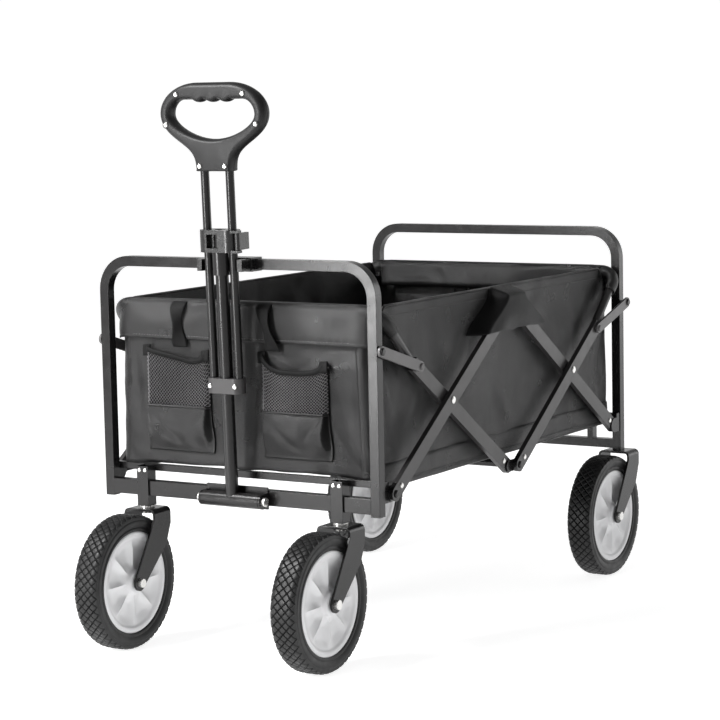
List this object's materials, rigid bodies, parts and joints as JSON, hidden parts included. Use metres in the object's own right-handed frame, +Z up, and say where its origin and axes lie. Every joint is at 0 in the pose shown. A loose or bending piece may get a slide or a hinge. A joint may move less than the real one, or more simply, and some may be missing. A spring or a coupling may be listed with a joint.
{
  "type": "folding utility wagon",
  "caption": "Folding utility wagon with a fabric tub on scissor-linked steel sides, swivel front casters, fixed rear wheels and a tilting telescopic pull handle.",
  "frame": {"origin": "on the floor, under the middle of the wagon's bounding box with the handle upright", "axes": "+X across the wagon's width, -Y towards the handle and the swivel casters, +Y towards the fixed rear wheels, +Z up"},
  "size_m": [0.531, 0.992, 0.8311],
  "materials": {
    "frame_steel": "satin black powder coat",
    "bar_steel": "satin dark grey powder coat",
    "black_plastic": "moulded, fine grain",
    "grip_plastic": "semi-gloss moulded",
    "fastener_steel": "zinc plated",
    "hub_plastic": "moulded light grey",
    "tyre": "matt tread, smoother sidewall",
    "tub_fabric": "coated woven polyester, charcoal",
    "mesh": "open mesh with elastic top",
    "cover_fabric": "black coated cloth"
  },
  "bodies": {
    "front_end": {"front_frame": "frame_steel", "front_beam": "frame_steel", "front_rail": "frame_steel", "caster_stem_left": "frame_steel", "caster_stem_right": "frame_steel", "front_post_caps": "black_plastic", "handle_bracket": "frame_steel", "handle_clip": "black_plastic", "front_pivot_brackets": "frame_steel", "front_fasteners": "fastener_steel"},
    "handle": {"handle_tube": "frame_steel", "tube_collar": "grip_plastic"},
    "collar_lever": {"collar_lever": "grip_plastic"},
    "grip": {"grip_tube_left": "frame_steel", "grip_tube_right": "frame_steel", "slide_bracket": "black_plastic", "grip_front_shell": "grip_plastic", "grip_rear_shell": "grip_plastic", "grip_screws": "fastener_steel"},
    "caster_left": {"fork_front_left": "frame_steel", "axle_front_left": "fastener_steel"},
    "caster_right": {"fork_front_right": "frame_steel", "axle_front_right": "fastener_steel"},
    "wheel_front_left": {"hub_front_left": "hub_plastic", "tyre_front_left": "tyre"},
    "wheel_front_right": {"hub_front_right": "hub_plastic", "tyre_front_right": "tyre"},
    "long_bars_front": {"bars_a": "bar_steel", "end_caps_a": "black_plastic", "rivets_a": "fastener_steel"},
    "front_basket": {"front_basket_frame": "bar_steel", "end_caps_b": "black_plastic", "rivets_b": "fastener_steel"},
    "bottom_knuckle": {"bottom_bracket": "bar_steel"},
    "tub": {"top_brackets": "bar_steel", "tub_floor": "tub_fabric", "tub_end_panels": "tub_fabric", "tub_side_panels": "tub_fabric", "tub_hems": "tub_fabric", "mesh_pockets": "mesh", "joint_covers": "cover_fabric"},
    "long_bars_rear": {"bars_d": "bar_steel", "end_caps_d": "black_plastic", "rivets_d": "fastener_steel"},
    "rear_basket": {"rear_basket_frame": "bar_steel", "end_caps_c": "black_plastic", "rivets_c": "fastener_steel"},
    "rear_end": {"rear_frame": "frame_steel", "rear_beam": "frame_steel", "rear_rail": "frame_steel", "rear_forks": "frame_steel", "rear_axles": "fastener_steel", "rear_pivot_brackets": "frame_steel"},
    "wheel_rear_left": {"hub_rear_left": "hub_plastic", "tyre_rear_left": "tyre"},
    "wheel_rear_right": {"hub_rear_right": "hub_plastic", "tyre_rear_right": "tyre"},
    "front_links": {"front_links": "bar_steel"},
    "rear_links": {"rear_links": "bar_steel"}
  },
  "joints": [
    {"name": "fold", "type": "hinge", "parent": "front_end", "child": "long_bars_front", "pos_m": [0, -0.308, 0.247], "axis": [1, 0, 0], "range_deg": [0, 48], "deforming": ["tub_floor", "tub_end_panels", "tub_side_panels", "tub_hems", "mesh_pockets", "joint_covers"]},
    {"name": "front_crossing", "type": "hinge", "parent": "long_bars_front", "child": "front_basket", "pos_m": [0, -0.13897, 0.36032], "axis": [1, 0, 0], "range_deg": [-96, 0]},
    {"name": "bottom_pivot", "type": "hinge", "parent": "front_basket", "child": "bottom_knuckle", "pos_m": [0, 0.05, 0.23364], "axis": [1, 0, 0], "range_deg": [0, 48]},
    {"name": "top_front_pivot", "type": "hinge", "parent": "long_bars_front", "child": "tub", "pos_m": [0, 0.05, 0.487], "axis": [1, 0, 0], "range_deg": [-48, 0]},
    {"name": "top_rear_pivot", "type": "hinge", "parent": "tub", "child": "long_bars_rear", "pos_m": [0, 0.07, 0.487], "axis": [1, 0, 0], "range_deg": [-48, 0]},
    {"name": "rear_crossing", "type": "hinge", "parent": "long_bars_rear", "child": "rear_basket", "pos_m": [0, 0.25897, 0.36032], "axis": [1, 0, 0], "range_deg": [0, 96]},
    {"name": "rear_post_pivot", "type": "hinge", "parent": "long_bars_rear", "child": "rear_end", "pos_m": [0, 0.428, 0.247], "axis": [1, 0, 0], "range_deg": [0, 48]},
    {"name": "front_link_pivot", "type": "hinge", "parent": "front_end", "child": "front_links", "pos_m": [0, -0.3355, 0.452], "axis": [1, 0, 0], "range_deg": [0, 95]},
    {"name": "rear_link_pivot", "type": "hinge", "parent": "rear_end", "child": "rear_links", "pos_m": [0, 0.4555, 0.452], "axis": [1, 0, 0], "range_deg": [-95, 0]},
    {"name": "handle_tilt", "type": "hinge", "parent": "front_end", "child": "handle", "pos_m": [0, -0.358, 0.229], "axis": [1, 0, 0], "range_deg": [0, 100]},
    {"name": "grip_slide", "type": "slide", "parent": "handle", "child": "grip", "axis": [0, -0.0349, 0.9994], "range_m": [-0.08, 0.145]},
    {"name": "collar_lever_turn", "type": "hinge", "parent": "handle", "child": "collar_lever", "pos_m": [0.0375, -0.38315, 0.60535], "axis": [0, 0.0349, -0.9994], "range_deg": [0, 90]},
    {"name": "caster_left_swivel", "type": "hinge", "parent": "front_end", "child": "caster_left", "pos_m": [-0.17, -0.336, 0.2], "axis": [0, 0, 1], "continuous": true},
    {"name": "caster_right_swivel", "type": "hinge", "parent": "front_end", "child": "caster_right", "pos_m": [0.17, -0.336, 0.2], "axis": [0, 0, 1], "continuous": true},
    {"name": "wheel_front_left_spin", "type": "hinge", "parent": "caster_left", "child": "wheel_front_left", "pos_m": [-0.17, -0.396, 0.1], "axis": [1, 0, 0], "continuous": true},
    {"name": "wheel_front_right_spin", "type": "hinge", "parent": "caster_right", "child": "wheel_front_right", "pos_m": [0.17, -0.396, 0.1], "axis": [1, 0, 0], "continuous": true},
    {"name": "wheel_rear_left_spin", "type": "hinge", "parent": "rear_end", "child": "wheel_rear_left", "pos_m": [-0.2325, 0.396, 0.1], "axis": [1, 0, 0], "continuous": true},
    {"name": "wheel_rear_right_spin", "type": "hinge", "parent": "rear_end", "child": "wheel_rear_right", "pos_m": [0.2325, 0.396, 0.1], "axis": [1, 0, 0], "continuous": true}
  ],
  "couplings": [
    {"joint": "front_crossing", "follows": "fold", "ratio": -2},
    {"joint": "bottom_pivot", "follows": "fold", "ratio": 1},
    {"joint": "top_front_pivot", "follows": "fold", "ratio": -1},
    {"joint": "top_rear_pivot", "follows": "fold", "ratio": -1},
    {"joint": "rear_crossing", "follows": "fold", "ratio": 2},
    {"joint": "rear_post_pivot", "follows": "fold", "ratio": 1},
    {"joint": "front_link_pivot", "follows": "fold", "ratio": 1.975},
    {"joint": "rear_link_pivot", "follows": "fold", "ratio": -1.975}
  ]
}
